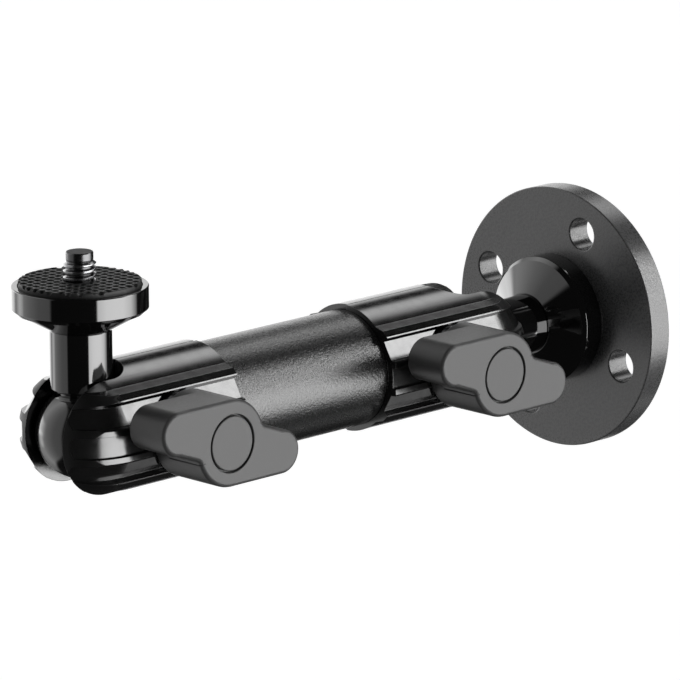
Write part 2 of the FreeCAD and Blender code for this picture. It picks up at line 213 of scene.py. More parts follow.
class Shell:
    """A closed mesh put together from rings of points that share their numbers with what joins them."""

    def __init__(self, base, axis, right):
        """Shapes are drawn in a plane across axis, whose first direction is right, from the point base."""
        self.base = np.array(base, float)
        self.axis = np.array(axis, float)
        self.right = np.array(right, float)
        self.up = np.cross(self.axis, self.right)
        self.points = []
        self.normals = []
        self.faces = []
        self.count = 0

    def place(self, flat, height):
        """Point of the shape's plane and a height along the axis, in the frame."""
        across = flat[..., :1] * self.right + flat[..., 1:] * self.up
        return across + np.asarray(height)[..., None] * self.axis

    def add(self, points, normals):
        """Adds points with their normals, and returns their numbers in the shape of the array."""
        numbers = self.count + np.arange(points[..., 0].size).reshape(points.shape[:-1])
        self.points.append(points.reshape(-1, 3))
        self.normals.append(np.broadcast_to(normals, points.shape).reshape(-1, 3))
        self.count += points[..., 0].size
        return numbers

    def join(self, numbers):
        """Quads between neighbouring rows of point numbers, each row a closed ring."""
        a = numbers[:-1]
        b = numbers[1:]
        quads = np.stack((a, np.roll(a, -1, 1), np.roll(b, -1, 1), b), axis=-1)
        self.faces += quads.reshape(-1, 4).tolist()

    def carry(self, outline, outward, path, path_normals):
        """Carries a profile round an outline: its first number steps outward, its second along the axis."""
        flat = outline[None] + path[:, None, :1] * outward[None]
        height = np.broadcast_to(path[:, None, 1], flat.shape[:2])
        points = self.base + self.place(flat, height)
        tilt = path_normals[:, None, :1] * outward[None]
        rise = np.broadcast_to(path_normals[:, None, 1], flat.shape[:2])
        numbers = self.add(points, self.place(tilt, rise))
        self.join(numbers)
        return numbers

    def turn(self, path, path_normals, segments=128, centre=(0.0, 0.0)):
        """Turns a (radius, height) profile about the axis, or about a line beside it."""
        ring = circle(segments)
        shifted = np.broadcast_to(np.array(centre, float), ring.shape)
        return self.carry(shifted, ring, path, path_normals)

    def cap(self, ring, sign):
        """Closes a ring with a fan to its middle; sign tells which way along the axis it faces."""
        points = np.concatenate(self.points)[ring]
        middle = self.add(points.mean(axis=0)[None], sign * self.axis)
        fan = np.stack((ring, np.roll(ring, -1), np.broadcast_to(middle, ring.shape)), axis=1)
        self.faces += fan.tolist()

    def fill(self, rings):
        """Flat face between the first ring and the rings inside it."""
        points = np.concatenate(self.points)
        loops = [[Vector(point) for point in points[ring]] for ring in rings]
        numbers = np.concatenate(rings)
        self.faces += numbers[np.array(tessellate_polygon(loops))].tolist()

    def build(self, name, material, nodes):
        """Makes the object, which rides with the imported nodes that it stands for."""
        mesh = bpy.data.meshes.new(name)
        mesh.from_pydata(np.concatenate(self.points).tolist(), [], self.faces)
        shape = bmesh.new()
        shape.from_mesh(mesh)
        bmesh.ops.recalc_face_normals(shape, faces=shape.faces)
        shape.to_mesh(mesh)
        shape.free()
        mesh.shade_smooth()
        mesh.normals_split_custom_set_from_vertices(np.concatenate(self.normals).tolist())
        return stand_for(name, mesh, material, nodes)


def stand_for(name, mesh, material, nodes):
    """Object from a mesh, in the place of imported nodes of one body."""
    piece = bpy.data.objects.new(name, mesh)
    bpy.context.scene.collection.objects.link(piece)
    mesh.materials.append(material)
    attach(piece, BODY_OF[nodes[0]])
    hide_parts(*nodes)
    return piece


# Finishes

class Graph:
    """Short names for the nodes of one material or world."""

    def __init__(self, tree):
        self.tree = tree

    def node(self, kind, **values):
        made = self.tree.nodes.new(kind)
        for name, value in values.items():
            setattr(made, name, value)
        return made

    def link(self, source, target):
        self.tree.links.new(source, target)

    def put(self, value, socket):
        """Links an output to a socket, or sets the socket to a plain value."""
        if isinstance(value, bpy.types.NodeSocket):
            self.link(value, socket)
        else:
            socket.default_value = value

    def math(self, operation, a, b=0.0):
        made = self.node("ShaderNodeMath", operation=operation)
        self.put(a, made.inputs[0])
        self.put(b, made.inputs[1])
        return made.outputs[0]

    def ramp(self, value, low, high, to_low=0.0, to_high=1.0, smooth=True):
        """Value taken from one range to another, held at the ends."""
        made = self.node("ShaderNodeMapRange", interpolation_type="SMOOTHSTEP" if smooth else "LINEAR")
        for socket, number in zip(made.inputs, (value, low, high, to_low, to_high)):
            self.put(number, socket)
        return made.outputs[0]

    def spread(self, noise, to_low=0.0, to_high=1.0):
        """Noise, which lies mostly between 0.3 and 0.7, taken to another range."""
        return self.ramp(noise, 0.3, 0.7, to_low, to_high)

    def dot(self, vector, way):
        """How far a vector reaches along a fixed direction."""
        made = self.node("ShaderNodeVectorMath", operation="DOT_PRODUCT")
        self.link(vector, made.inputs[0])
        made.inputs[1].default_value = way
        return made.outputs["Value"]

    def distance(self, vector, point):
        """Distance from a fixed point."""
        made = self.node("ShaderNodeVectorMath", operation="DISTANCE")
        self.link(vector, made.inputs[0])
        made.inputs[1].default_value = point
        return made.outputs["Value"]

    def noise(self, vector, scale, detail=2.0, roughness=0.5):
        made = self.node("ShaderNodeTexNoise")
        self.link(vector, made.inputs["Vector"])
        made.inputs["Scale"].default_value = scale
        made.inputs["Detail"].default_value = detail
        made.inputs["Roughness"].default_value = roughness
        return made.outputs["Fac"]

    def cells(self, vector, scale):
        made = self.node("ShaderNodeTexVoronoi", feature="SMOOTH_F1")
        self.link(vector, made.inputs["Vector"])
        made.inputs["Scale"].default_value = scale
        return made.outputs["Distance"]

    def bump(self, height, distance, strength=1.0, normal=None):
        made = self.node("ShaderNodeBump")
        made.inputs["Strength"].default_value = strength
        made.inputs["Distance"].default_value = distance
        self.link(height, made.inputs["Height"])
        if normal:
            self.link(normal, made.inputs["Normal"])
        return made.outputs["Normal"]


def finish(name, base, roughness, metallic=0.0, index=1.5):
    """Material with a Principled shader; returns it with its graph, shader and Object coordinates."""
    material = bpy.data.materials.new(name)
    material.use_nodes = True
    graph = Graph(material.node_tree)
    shader = material.node_tree.nodes["Principled BSDF"]
    shader.inputs["Base Color"].default_value = (*base, 1.0)
    shader.inputs["Roughness"].default_value = roughness
    shader.inputs["Metallic"].default_value = metallic
    shader.inputs["IOR"].default_value = index
    material.diffuse_color = (*base, 1.0)
    place = graph.node("ShaderNodeTexCoord").outputs["Object"]
    return material, graph, shader, place


def tinted(graph, base, value, low, high):
    """Base colour that goes from low to high times itself with a pattern."""
    made = graph.node("ShaderNodeMix", data_type="RGBA")
    graph.link(value, made.inputs["Factor"])
    colours = [socket for socket in made.inputs if socket.type == "RGBA"]
    colours[0].default_value = (*(low * channel for channel in base), 1.0)
    colours[1].default_value = (*(high * channel for channel in base), 1.0)
    return next(socket for socket in made.outputs if socket.type == "RGBA")


def powder_coat(base):
    """Fine, even orange peel of a baked powder coat, whose shade drifts a little over the piece."""
    material, graph, shader, place = finish("powder_coat", base, roughness=0.28, index=1.98)
    peel = graph.noise(place, scale=2300.0, detail=2.0, roughness=0.6)
    broad = graph.noise(place, scale=90.0, detail=2.0)
    graph.link(tinted(graph, base, graph.spread(broad), 0.94, 1.06), shader.inputs["Base Color"])
    graph.link(graph.spread(peel, 0.24, 0.33), shader.inputs["Roughness"])
    graph.link(graph.bump(peel, distance=0.03 * MM, strength=0.6), shader.inputs["Normal"])
    return material


def polish(graph, haze, roughness):
    """Roughness of a polished coat, a little higher where handling has left it cloudy."""
    return graph.math("ADD", graph.ramp(haze, 0.35, 0.75, 0.0, 0.03), roughness)


def polished_black(base, roughness, index):
    """Polished coat: hardly any texture, faint haze from handling."""
    material, graph, shader, place = finish("polished_black", base, roughness, index=index)
    haze = graph.noise(place, scale=260.0, detail=3.0)
    graph.link(polish(graph, haze, roughness), shader.inputs["Roughness"])
    graph.link(tinted(graph, base, haze, 0.8, 1.2), shader.inputs["Base Color"])
    return material


def ball_black(name, base, roughness, index, centre, radius):
    """Polished coat of a stem, worn to a lighter satin on the ball, where it rubs in its socket."""
    material, graph, shader, place = finish(name, base, roughness, index=index)
    on_ball = graph.ramp(graph.distance(place, centre), 1.002 * radius, 1.012 * radius, 1.0, 0.0)
    haze = graph.noise(place, scale=260.0, detail=3.0)
    satin = graph.math("MULTIPLY", on_ball, 0.06)
    graph.link(graph.math("ADD", satin, polish(graph, haze, roughness)), shader.inputs["Roughness"])
    graph.link(tinted(graph, base, on_ball, 1.0, 5.0), shader.inputs["Base Color"])
    return material


def milled_black(name, base, roughness, index, edge, nose, outward):
    """Satin coat on the milled clamps, its edges softened and its haze a little uneven.

    The ball-shaped nose is duller: what lies on a sphere about the point nose, and outward of that point.
    """
    material, graph, shader, place = finish(name, base, roughness, index=index)
    bevel = graph.node("ShaderNodeBevel", samples=6)
    bevel.inputs["Radius"].default_value = edge
    off = graph.math("ABSOLUTE", graph.math("SUBTRACT", graph.distance(place, nose), NOSE_RADIUS))
    on_sphere = graph.ramp(off, 0.02 * MM, 0.08 * MM, 1.0, 0.0)
    level = float(np.dot(nose, outward))
    on_dome = graph.ramp(graph.dot(place, outward), level, level + 0.2 * MM, 0.0, 1.0)
    on_nose = graph.math("MULTIPLY", on_dome, on_sphere)
    haze = graph.noise(place, scale=420.0, detail=3.0)
    sheen = graph.spread(haze, roughness - 0.02, roughness + 0.03)
    graph.link(graph.math("ADD", sheen, graph.math("MULTIPLY", on_nose, 0.3)), shader.inputs["Roughness"])
    gloss = graph.math("SUBTRACT", 0.5, graph.math("MULTIPLY", on_nose, 0.42))
    graph.link(gloss, shader.inputs["Specular IOR Level"])
    graph.link(tinted(graph, base, haze, 0.8, 1.2), shader.inputs["Base Color"])
    fine = graph.noise(place, scale=5200.0, detail=2.0)
    graph.link(graph.bump(fine, distance=0.004 * MM, strength=0.3, normal=bevel.outputs[0]),
               shader.inputs["Normal"])
    return material


def grained_coat(base, index):
    """Leather-like grain: small rounded cells, roughened by fine noise and lifted by broad noise."""
    material, graph, shader, place = finish("grained_coat", base, roughness=0.26, index=index)
    broad = graph.noise(place, scale=1500.0, detail=2.0)
    grain = graph.cells(place, scale=2500.0)
    pits = graph.noise(place, scale=3300.0, detail=2.0, roughness=0.6)
    height = graph.math("ADD", graph.math("MULTIPLY", grain, 0.5), graph.math("MULTIPLY", pits, 0.8))
    height = graph.math("ADD", height, graph.math("MULTIPLY", broad, 0.4))
    graph.link(tinted(graph, base, pits, 0.7, 1.3), shader.inputs["Base Color"])
    graph.link(graph.spread(pits, 0.24, 0.34), shader.inputs["Roughness"])
    graph.link(graph.bump(height, distance=0.062 * MM), shader.inputs["Normal"])
    return material


def moulded_grey(base):
    """Spark-eroded mould texture on a matte nylon."""
    material, graph, shader, place = finish("moulded_grey", base, roughness=0.4, index=1.57)
    spark = graph.noise(place, scale=3600.0, detail=3.0, roughness=0.6)
    graph.link(tinted(graph, base, spark, 0.96, 1.04), shader.inputs["Base Color"])
    graph.link(graph.spread(spark, 0.36, 0.44), shader.inputs["Roughness"])
    graph.link(graph.bump(spark, distance=0.012 * MM, strength=0.4), shader.inputs["Normal"])
    return material


def grip_rubber(base):
    """Black rubber with a dusty, uneven sheen."""
    material, graph, shader, place = finish("grip_rubber", base, roughness=0.5, index=1.5)
    dust = graph.noise(place, scale=1800.0, detail=3.0)
    graph.link(tinted(graph, base, dust, 0.7, 1.3), shader.inputs["Base Color"])
    graph.link(graph.spread(dust, 0.42, 0.58), shader.inputs["Roughness"])
    graph.link(graph.bump(dust, distance=0.01 * MM, strength=0.4), shader.inputs["Normal"])
    return material


def turned_steel(name, base, roughness):
    """Metal with the fine streaks that turning leaves."""
    material, graph, shader, place = finish(name, base, roughness, metallic=1.0)
    stretch = graph.node("ShaderNodeMapping")
    stretch.inputs["Scale"].default_value = (1.0, 1.0, 9.0)
    graph.link(place, stretch.inputs["Vector"])
    streaks = graph.noise(stretch.outputs[0], scale=900.0, detail=2.0)
    graph.link(graph.spread(streaks, 0.7 * roughness, 1.4 * roughness), shader.inputs["Roughness"])
    graph.link(tinted(graph, base, streaks, 0.9, 1.05), shader.inputs["Base Color"])
    return material


def stud_steel(base, roughness, axis_y, crest, end):
    """Dark steel of the stud, with a painted highlight on the thread's crests and a dull cut end."""
    material, graph, shader, place = finish("stud_steel", base, roughness, metallic=1.0)
    offset = graph.node("ShaderNodeVectorMath", operation="MULTIPLY_ADD")
    graph.link(place, offset.inputs[0])
    offset.inputs[1].default_value = (1.0, 1.0, 0.0)
    offset.inputs[2].default_value = (0.0, -axis_y, 0.0)
    reach = graph.node("ShaderNodeVectorMath", operation="LENGTH")
    graph.link(offset.outputs[0], reach.inputs[0])
    # Painted highlight: the base colour rises up to 3.2 times near the thread's crests, standing in for the light
    # they catch.
    crest_highlight = graph.ramp(reach.outputs["Value"], 0.86 * crest, 0.98 * crest, 1.0, 3.2)
    height = graph.dot(place, (0.0, 0.0, 1.0))
    below = end - 0.03 * MM
    above = end - 0.01 * MM
    dull = graph.ramp(height, below, above, 1.0, 0.33, smooth=False)
    shade = graph.node("ShaderNodeVectorMath", operation="SCALE")
    shade.inputs[0].default_value = base
    graph.link(graph.math("MULTIPLY", crest_highlight, dull), shade.inputs["Scale"])
    graph.link(shade.outputs[0], shader.inputs["Base Color"])
    haze = graph.noise(place, scale=900.0, detail=3.0)
    sheen = graph.spread(haze, 0.9 * roughness, 1.1 * roughness)
    blunt = graph.ramp(height, below, above, 0.0, 0.3, smooth=False)
    graph.link(graph.math("ADD", sheen, blunt), shader.inputs["Roughness"])
    return material


FINISHES = {}

# The clamps' ball-shaped noses: their radius, how far their middle lies to the front or the back of the
# arm's axis, and how far it lies from the ball's middle towards the sleeve.
NOSE_RADIUS = 11.55 * MM
NOSE_SIDE = {"front": 3.3 * MM, "back": -3.3 * MM}
NOSE_INWARD = {"front": 0.3 * MM, "back": 2.25 * MM}


def make_finishes(options):
    """Makes each finish once. A clamp half has its own, because its nose lies about its own point."""
    FINISHES["plate"] = powder_coat(options.plate)
    FINISHES["gloss"] = polished_black(options.gloss, options.gloss_roughness, options.gloss_index)
    edge = bpy.context.scene.bracket_sizes.milled_round
    for side, way in (("wall", -1.0), ("camera", 1.0)):
        for half in ("front", "back"):
            node = side + "_clamp_" + half
            nose = PIVOT[side + "_swing"] + np.array((NOSE_SIDE[half], way * NOSE_INWARD[half], 0.0))
            FINISHES[node] = milled_black(node + "_black", options.clamp, options.clamp_roughness,
                                          options.gloss_index, edge, nose, (0.0, -way, 0.0))
    FINISHES["sleeve"] = grained_coat(options.sleeve, index=0.93 * options.gloss_index)
    FINISHES["knob"] = moulded_grey(options.knob)
    FINISHES["rubber"] = grip_rubber(options.rubber)
    FINISHES["steel"] = turned_steel("bright_steel", options.steel, roughness=0.14)
    high = extent("camera_screw")[1]
    FINISHES["stud"] = stud_steel(options.stud, 0.24, PIVOT["camera_swing"][1], crest=high[0], end=high[2])
    FINISHES["dark_steel"] = turned_steel("blackened_steel", options.dark_steel, roughness=0.3)
    FINISHES["aluminium"] = turned_steel("turned_aluminium", options.aluminium, roughness=0.3)


def dress(node, finish_name):
    """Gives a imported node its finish."""
    for slot in frame["nodes"][node].material_slots:
        slot.material = FINISHES[finish_name]


# Pieces

class BRACKET_OT_wall_plate(bpy.types.Operator):
    """Wall plate: a disc with a soft rim and four plain holes"""

    bl_idname = "bracket.wall_plate"
    bl_label = "Wall plate"

    def execute(self, context):
        soft = context.scene.bracket_sizes.plate_round
        low, high = extent("wall_plate")
        radius = high[0]
        thickness = -low[1]
        hole = BOLTS["hole_r_mm"] * MM
        pitch_radius = BOLTS["pcd_mm"] * MM / 2
        first_turn = hole_turn()
        shell = Shell((0.0, 0.0, 0.0), -Y, X)
        rim, rim_normals = rounded([(radius - 2 * soft, 0), (radius, 0), (radius, thickness),
                                    (radius - 2 * soft, thickness)], (soft, soft))
        outer = shell.turn(rim, rim_normals, segments=192)
        wall, wall_normals = rounded([(hole + 2 * soft, thickness), (hole, thickness), (hole, 0),
                                      (hole + 2 * soft, 0)], (soft, soft))
        fronts = [outer[-1]]
        backs = [outer[0]]
        for k in range(BOLTS["count"]):
            turn = first_turn + 2 * math.pi * k / BOLTS["count"]
            centre = (pitch_radius * math.cos(turn), pitch_radius * math.sin(turn))
            inner = shell.turn(wall, wall_normals, segments=48, centre=centre)
            fronts.append(inner[0])
            backs.append(inner[-1])
        sink, sink_normals = sink_profile(soft)
        recess = shell.turn(sink, sink_normals, segments=64)
        shell.cap(recess[0], -1.0)
        backs.append(recess[-1])
        shell.fill(fronts)
        shell.fill(backs)
        shell.build("wall_plate_coated", FINISHES["plate"], ["wall_plate"])
        return {"FINISHED"}


def hole_turn():
    """Angle of the first wall hole, seen from the front, from the plate's own points near its holes.

    The holes lie a quarter turn apart, so four times the angle of any of them points the same way. The
    points round the holes give the mean of that, and a quarter of it is a hole's angle.
    """
    points = np.array([vertex.co for vertex in frame["nodes"]["wall_plate"].data.vertices])
    flat = points[:, (0, 2)]
    reach = np.linalg.norm(flat, axis=1)
    near = np.abs(reach - BOLTS["pcd_mm"] * MM / 2) < 1.2 * BOLTS["hole_r_mm"] * MM
    turns = np.arctan2(flat[near, 1], flat[near, 0])
    return np.angle(np.exp(4j * turns).mean()) / 4


def sink_profile(soft):
    """Countersink in the middle of the plate's back: a cone of 90 degrees for the flange's screw."""
    head = extent("wall_flange_screw")[1][0] + 0.05 * MM
    depth = 1.9 * MM
    middle = 0.5 * MM
    return rounded([(middle, depth), (head - depth, depth), (head, 0), (head + 4 * soft, 0)],
                   (0.5 * soft, 0.5 * soft))


def flange_profile(radius, height, sizes, seat=None):
    """Half section of a flange: over its foot, up its cone, over the bevel, up the rim and over its face.

    It begins and ends beside the axis, where caps close it. A seat is the (radius, depth) of a pad's recess.
    """
    foot = sizes.flange_foot
    corner = sizes.flange_corner
    cone = sizes.flange_cone
    soft = sizes.edge_round
    middle = 0.2 * foot
    points = [(middle, 0), (foot, 0), (radius - corner, cone), (radius, cone + corner), (radius, height)]
    radii = [0.6 * soft, soft, soft, soft]
    if seat:
        points += [(seat[0], height), (seat[0], height - seat[1]), (middle, height - seat[1])]
        radii += [0.6 * soft, 0.6 * soft]
    else:
        points += [(middle, height)]
    return rounded(points, radii)


class BRACKET_OT_flanges(bpy.types.Operator):
    """Flanges: the disc on the wall plate and the platform under the pad, each a shallow cone and a rim"""

    bl_idname = "bracket.flanges"
    bl_label = "Flanges"

    def execute(self, context):
        sizes = context.scene.bracket_sizes
        low, high = extent("wall_flange")
        radius = high[0]
        height = high[1] - low[1]
        wall = Shell((0.0, low[1], 0.0), Y, X)
        rings = wall.turn(*flange_profile(radius, height, sizes))
        wall.cap(rings[0], -1.0)
        wall.cap(rings[-1], 1.0)
        wall.build("wall_flange_polished", FINISHES["gloss"], ["wall_flange"])
        low, high = extent("camera_platform")
        pad_low, pad_high = extent("rubber_pad")
        seat = (pad_high[0] + 0.1 * MM, high[2] - pad_low[2])
        platform = Shell((0.0, PIVOT["camera_swing"][1], low[2]), Z, X)
        rings = platform.turn(*flange_profile(radius, height, sizes, seat))
        platform.cap(rings[0], -1.0)
        platform.cap(rings[-1], 1.0)
        platform.build("camera_platform_polished", FINISHES["gloss"], ["camera_platform"])
        return {"FINISHED"}


def stem_profile(ball, top, sizes):
    """Half section of a ball, its neck and its stem, from under the ball to the stem's end.

    The ball is an arc about the origin. It stops a little short of the neck, and the path goes on along
    the ball's tangent, round the inner corner and up the neck, over the shoulder's cone to the stem.
    """
    neck = sizes.neck_radius
    stem = sizes.stem_radius
    shoulder = sizes.shoulder_height
    soft = sizes.shoulder_round
    join = math.asin(neck / ball)
    short = 0.3 * MM
    turn = np.linspace(math.pi, join + short / ball, 100)[:-1]
    way = np.stack((np.sin(turn), np.cos(turn)), axis=1)
    start = ball * np.array((math.sin(join), math.cos(join)))
    heading = np.array((-math.cos(join), math.sin(join)))
    middle = 0.2 * stem
    tail, normals = rounded([start - short * heading, start, (neck, sizes.neck_height),
                             (stem - soft, shoulder), (stem, shoulder + soft), (stem, top), (middle, top)],
                            (0.4 * MM, 0.6 * MM, soft, soft, soft))
    return np.concatenate((ball * way, tail)), np.concatenate((way, normals))


class BRACKET_OT_ball_stems(bpy.types.Operator):
    """Ball stems: ball, neck and stem in one piece, at each end of the arm, just short of their flanges"""

    bl_idname = "bracket.ball_stems"
    bl_label = "Ball stems"

    def execute(self, context):
        finishes = context.scene.bracket_finishes
        high = extent("camera_ball_stem")[1]
        ball = high[0]
        end_gap = 0.02 * MM
        profile, normals = stem_profile(ball, high[2] - end_gap, context.scene.bracket_sizes)
        for side, axis in (("camera", Z), ("wall", Y)):
            shell = Shell(PIVOT[side + "_swing"], axis, X)
            rings = shell.turn(profile, normals)
            shell.cap(rings[-1], 1.0)
            coat = ball_black(side + "_stem_black", finishes.gloss, finishes.gloss_roughness,
                              finishes.gloss_index, PIVOT[side + "_swing"], ball)
            shell.build(side + "_ball_stem_polished", coat, [side + "_ball_stem"])
        return {"FINISHED"}


class BRACKET_OT_clamps(bpy.types.Operator):
    """Clamp halves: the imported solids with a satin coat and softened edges"""

    bl_idname = "bracket.clamps"
    bl_label = "Clamps"

    def execute(self, context):
        for side in ("wall", "camera"):
            dress(side + "_clamp_front", side + "_clamp_front")
            dress(side + "_clamp_back", side + "_clamp_back")
        return {"FINISHED"}


class BRACKET_OT_sleeve(bpy.types.Operator):
    """Sleeve between the clamps: a tube with a grained coat"""

    bl_idname = "bracket.sleeve"
    bl_label = "Sleeve"

    def execute(self, context):
        soft = context.scene.bracket_sizes.edge_round
        bore = context.scene.bracket_sizes.sleeve_bore
        low, high = extent("centre_sleeve")
        outer = high[0]
        span = high[1] - low[1]
        shell = Shell((0.0, low[1], 0.0), Y, X)
        path, normals = rounded([(outer - 3 * soft, 0), (outer, 0), (outer, span), (outer - 3 * soft, span)],
                                (soft, soft))
        skin = shell.turn(path, normals, segments=256)
        path, normals = rounded([(bore + 3 * soft, span), (bore, span), (bore, 0), (bore + 3 * soft, 0)],
                                (soft, soft))
        inside = shell.turn(path, normals, segments=256)
        shell.join(np.stack((skin[-1], inside[0])))
        shell.join(np.stack((inside[-1], skin[0])))
        shell.build("centre_sleeve_grained", FINISHES["sleeve"], ["centre_sleeve"])
        return {"FINISHED"}


def knob_outline(hub, reach, end, taper, root):
    """Closed outline of hub and wings with its outward normals: one half, and the same turned by 180 degrees.

    A half is the top edge of a wing, its round end, its tapering lower edge, the root's concave arc and a
    quarter of the hub. The root's arc touches the edge and the hub: its centre is a root radius off both.
    """
    tip, tip_way = arc((-reach, hub - end), end, 90, 270, 40)
    low = np.array((-reach, hub - 2 * end))
    sunk = hub - 2 * end - taper
    corner = np.array((-math.sqrt(hub ** 2 - sunk ** 2), sunk))
    run = (corner - low) / np.linalg.norm(corner - low)
    below = np.array((run[1], -run[0]))
    start = low + root * below
    along = -(start @ run) - math.sqrt((start @ run) ** 2 - start @ start + (hub + root) ** 2)
    centre = start + along * run
    fillet, fillet_way = arc(centre, root, bearing(-below), bearing(-centre), 8)
    round_hub, hub_way = arc((0.0, 0.0), hub, bearing(centre) % 360, 270, 24)
    half = np.concatenate((tip, fillet, round_hub))
    outward = np.concatenate((tip_way, -fillet_way, hub_way))
    return np.concatenate((half, -half)), np.concatenate((outward, -outward))


class BRACKET_OT_knobs(bpy.types.Operator):
    """Knobs: moulded hub with two tapering wings, and a plain round cap in a groove"""

    bl_idname = "bracket.knobs"
    bl_label = "Knobs"

    def execute(self, context):
        sizes = context.scene.bracket_sizes
        soft = sizes.knob_round
        low, high = extent("wall_knob")
        span = (high[1] - low[1]) / 2
        hub = high[2]
        end = sizes.wing_end
        outline, outward = knob_outline(hub, span - end, end, sizes.wing_taper, sizes.knob_root)
        cap_low, cap_high = extent("wall_knob_cap")
        cap = (cap_high[1] - cap_low[1]) / 2
        seam = cap + sizes.seam_width
        front = high[0]
        sunk = front - sizes.seam_depth
        face = front - 0.05 * MM
        back = low[0] + sizes.knob_collar
        collar_end = back + 0.6 * MM
        for side in ("wall", "camera"):
            shell = Shell((0.0, PIVOT[side + "_knob_turn"][1], 0.0), X, Y)
            edge, edge_normals = rounded([(-4 * MM, back), (0, back), (0, front), (-1.2 * soft, front)],
                                         (0.5 * MM, soft), steps=8)
            rings = shell.carry(outline, outward, edge, edge_normals)
            well, well_normals = rounded([(seam + 2 * sizes.seam_width, front), (seam, front), (seam, sunk),
                                          (cap, sunk), (cap, face), (cap - 1.2 * MM, face)],
                                         (0.2 * MM, 0.1 * MM, 0.1 * MM, 0.25 * MM))
            cap_rings = shell.turn(well, well_normals, segments=96)
            shell.fill([rings[-1], cap_rings[0]])
            shell.cap(cap_rings[-1], 1.0)
            shell.cap(rings[0], -1.0)
            collar, collar_normals = rounded([(3 * MM, low[0]), (hub, low[0]), (hub, collar_end),
                                              (3 * MM, collar_end)], (0.4 * MM, 0.1 * MM))
            ring = shell.turn(collar, collar_normals, segments=96)
            shell.cap(ring[0], -1.0)
            shell.cap(ring[-1], 1.0)
            shell.build(side + "_knob_moulded", FINISHES["knob"], [side + "_knob", side + "_knob_cap"])
        return {"FINISHED"}


class BRACKET_OT_grip_pad(bpy.types.Operator):
    """Rubber pad: a disc whose top is a square field of round cells that run out over its edge"""

    bl_idname = "bracket.grip_pad"
    bl_label = "Grip pad"

    def execute(self, context):
        sizes = context.scene.bracket_sizes
        low, high = extent("rubber_pad")
        radius = high[0]
        top = high[2]
        bore = sizes.pad_bore
        edge = sizes.edge_round
        rows = 128
        shell = Shell((0.0, PIVOT["camera_swing"][1], 0.0), Z, X)
        path = rounded([(bore, low[2]), (radius, low[2]), (radius, top), (radius - 2 * edge, top)],
                       (0.2 * MM, edge))[0]
        reach = np.concatenate((path[:-1, 0], np.linspace(radius - 1.3 * edge, bore, rows)))
        height = np.concatenate((path[:-1, 1], np.full(rows, top)))
        flat = reach[:, None, None] * circle(560)[None]
        level = np.minimum(height[:, None], top - self.cells(flat, sizes, bore))
        points = shell.base + shell.place(flat, level)
        normals = grid_normals(points)
        # The first ring is on the underside, whose outward normal points down.
        skin = shell.add(points, -normals * np.sign(normals[0, 0, 2]))
        shell.join(skin)
        shell.join(np.stack((skin[-1], skin[0])))
        shell.build("rubber_pad_grip", FINISHES["rubber"], ["rubber_pad"])
        return {"FINISHED"}

    def cells(self, flat, sizes, bore):
        """Depth of the grip at points of the pad's plane.

        Cells stand on a square grid. With r the distance from the nearest cell's middle, R a cell's radius
        and D its depth, the depth is D times the root of 1.6 (1 - (r / R) ^ 2), held between 0 and 1: steep
        at the mouth and flat on the floor. The grid fades out round the stud.
        """
        pitch = sizes.grip_pitch
        shift = np.array((0.1, 0.5))
        offset = flat - pitch * (np.round(flat / pitch - shift) + shift)
        inside = 1.0 - (offset ** 2).sum(axis=-1) / sizes.grip_cell ** 2
        depth = np.sqrt(np.clip(1.6 * inside, 0.0, 1.0))
        from_bore = np.linalg.norm(flat, axis=-1) - bore
        return sizes.grip_depth * depth * np.clip((from_bore - 0.1 * MM) / (0.2 * MM), 0.0, 1.0)


class BRACKET_OT_camera_screw(bpy.types.Operator):
    """Camera stud: a right-hand quarter inch thread that runs out under a plain tip"""

    bl_idname = "bracket.camera_screw"
    bl_label = "Camera stud"

    def execute(self, context):
        sizes = context.scene.bracket_sizes
        high = extent("camera_screw")[1]
        end = high[2]
        tip = sizes.tip_radius
        tip_start = end - sizes.tip_length
        bottom = extent("rubber_pad")[1][2] - 1.0 * MM
        segments = 96
        height = np.linspace(bottom, tip_start, 190)
        radius = self.thread(height, tip_start, np.arange(segments) / segments, high[0], sizes)
        radius[-1] = tip - 0.15 * MM
        shell = Shell((0.0, PIVOT["camera_swing"][1], 0.0), Z, X)
        flat = radius[..., None] * circle(segments)[None]
        points = shell.base + shell.place(flat, np.broadcast_to(height[:, None], radius.shape))
        thread = shell.add(points, grid_normals(points))
        shell.join(thread)
        path, normals = rounded([(tip - 0.1 * MM, tip_start), (tip, tip_start + 0.25 * MM), (tip, end),
                                 (0.5 * MM, end)], (0.15 * MM, 0.25 * MM))
        top = shell.turn(path, normals, segments)
        shell.join(np.stack((thread[-1], top[0])))
        shell.cap(top[-1], 1.0)
        shell.cap(thread[0], -1.0)
        shell.build("camera_screw_threaded", FINISHES["stud"], ["camera_screw"])
        return {"FINISHED"}

    def thread(self, height, tip_start, turns, crest, sizes):
        """Radius of the thread at heights and shares of a turn.

        With w running from 0 to 1 and back once in a pitch, as half a cosine wave, the tooth is the smooth
        step of (w - 0.18) / 0.64, and the radius is the root's plus the depth times the tooth. The tooth
        fades out over the last 0.35 of a pitch under the tip.
        """
        phase = (height[:, None] - tip_start) / sizes.thread_pitch - turns[None] + 0.35
        wave = 0.5 + 0.5 * np.cos(2 * np.pi * phase)
        tooth = np.clip((wave - 0.18) / 0.64, 0.0, 1.0)
        tooth = tooth * tooth * (3 - 2 * tooth)
        fade = np.clip((tip_start - height) / (0.35 * sizes.thread_pitch), 0.0, 1.0)[:, None]
        return crest - sizes.thread_depth + sizes.thread_depth * tooth * fade


